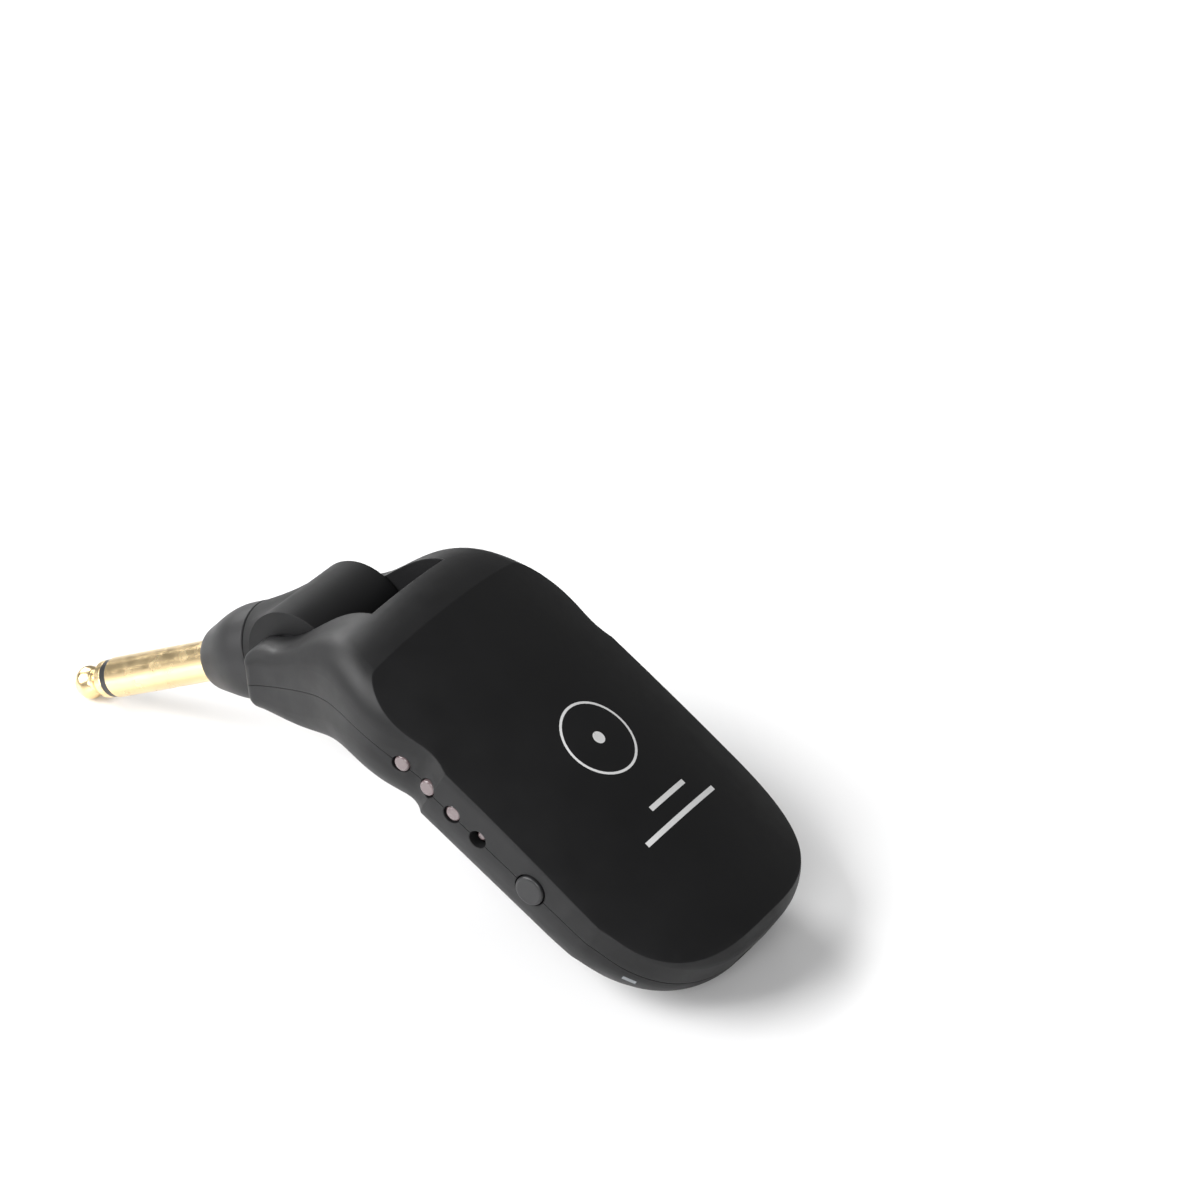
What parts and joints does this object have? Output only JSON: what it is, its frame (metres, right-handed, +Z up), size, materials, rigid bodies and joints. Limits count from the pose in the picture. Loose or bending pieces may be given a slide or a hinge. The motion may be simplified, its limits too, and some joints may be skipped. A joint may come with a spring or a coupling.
{
  "type": "wireless guitar transmitter",
  "caption": "Pocket wireless transmitter for an electric guitar: rounded black paddle with side lights and button, and a folding knuckle that carries a gold mono jack plug.",
  "frame": {"origin": "centre of the footprint on the resting surface, with the tail and the tip of the plug on that surface", "axes": "+X from the plug to the tail, the longest extent; +Z up; -Y the side with the lights and the button"},
  "size_m": [0.1256, 0.0435, 0.0438],
  "materials": {
    "housing_plastic": "soft-touch moulded black",
    "window_plastic": "milky light window",
    "switch_plastic": "switch body",
    "board_laminate": "green circuit laminate",
    "port_steel": "socket shell",
    "port_plastic": "socket tongue",
    "cell_wrap": "laminated pouch foil",
    "foam": "closed-cell foam",
    "lead_red": "wire insulation",
    "lead_black": "wire insulation",
    "connector_plastic": "nylon connector",
    "shield_metal": "tinned shield can",
    "chip_plastic": "moulded chip package",
    "antenna_ceramic": "ceramic antenna block",
    "pin_steel": "turned pin",
    "lens_plastic": "clear moulded lens",
    "light_package": "light-emitting chip",
    "screw_steel": "zinc-plated screw",
    "button_plastic": "moulded button",
    "plunger_plastic": "switch plunger",
    "knuckle_plastic": "moulded black",
    "washer_plastic": "friction washer",
    "collar_plastic": "moulded black",
    "plug_gold": "gold-plated brass",
    "insulator_plastic": "black insulator",
    "nut_brass": "brass nut",
    "lug_brass": "tinned brass lug"
  },
  "bodies": {
    "housing": {"top_shell": "housing_plastic", "bottom_shell": "housing_plastic", "status_window": "window_plastic", "tact_switch": "switch_plastic", "circuit_board": "board_laminate", "charge_port": "port_steel", "port_tongue": "port_plastic", "battery_cell": "cell_wrap", "battery_pad": "foam", "battery_lead_positive": "lead_red", "battery_lead_negative": "lead_black", "battery_connector": "connector_plastic", "radio_can": "shield_metal", "radio_chip": "chip_plastic", "charge_chip": "chip_plastic", "antenna": "antenna_ceramic", "signal_cable": "lead_black", "hinge_pin_near": "pin_steel", "hinge_pin_far": "pin_steel", "light_lens_1": "lens_plastic", "light_chip_1": "light_package", "light_lens_2": "lens_plastic", "light_chip_2": "light_package", "light_lens_3": "lens_plastic", "light_chip_3": "light_package", "light_lens_4": "lens_plastic", "light_chip_4": "light_package", "board_screws": "screw_steel"},
    "power_button": {"power_button": "button_plastic", "switch_plunger": "plunger_plastic"},
    "plug_arm": {"knuckle_upper_half": "knuckle_plastic", "knuckle_lower_half": "knuckle_plastic", "hinge_washer_near": "washer_plastic", "hinge_washer_far": "washer_plastic", "plug_collar": "collar_plastic", "plug_sleeve": "plug_gold", "insulator_tube": "insulator_plastic", "insulator_ring": "insulator_plastic", "plug_tip": "plug_gold", "plug_nut": "nut_brass", "ground_lug": "lug_brass", "tip_lug": "lug_brass"}
  },
  "joints": [
    {"name": "plug_hinge", "type": "hinge", "parent": "housing", "child": "plug_arm", "pos_m": [-0.0131, 0, 0.02866], "axis": [0, 1, 0], "range_deg": [-70, 142]},
    {"name": "button_press", "type": "slide", "parent": "housing", "child": "power_button", "axis": [0, 1, 0], "range_m": [0, 0.0004], "stiffness_N_per_m": 1500, "springref_m": -0.0003}
  ]
}
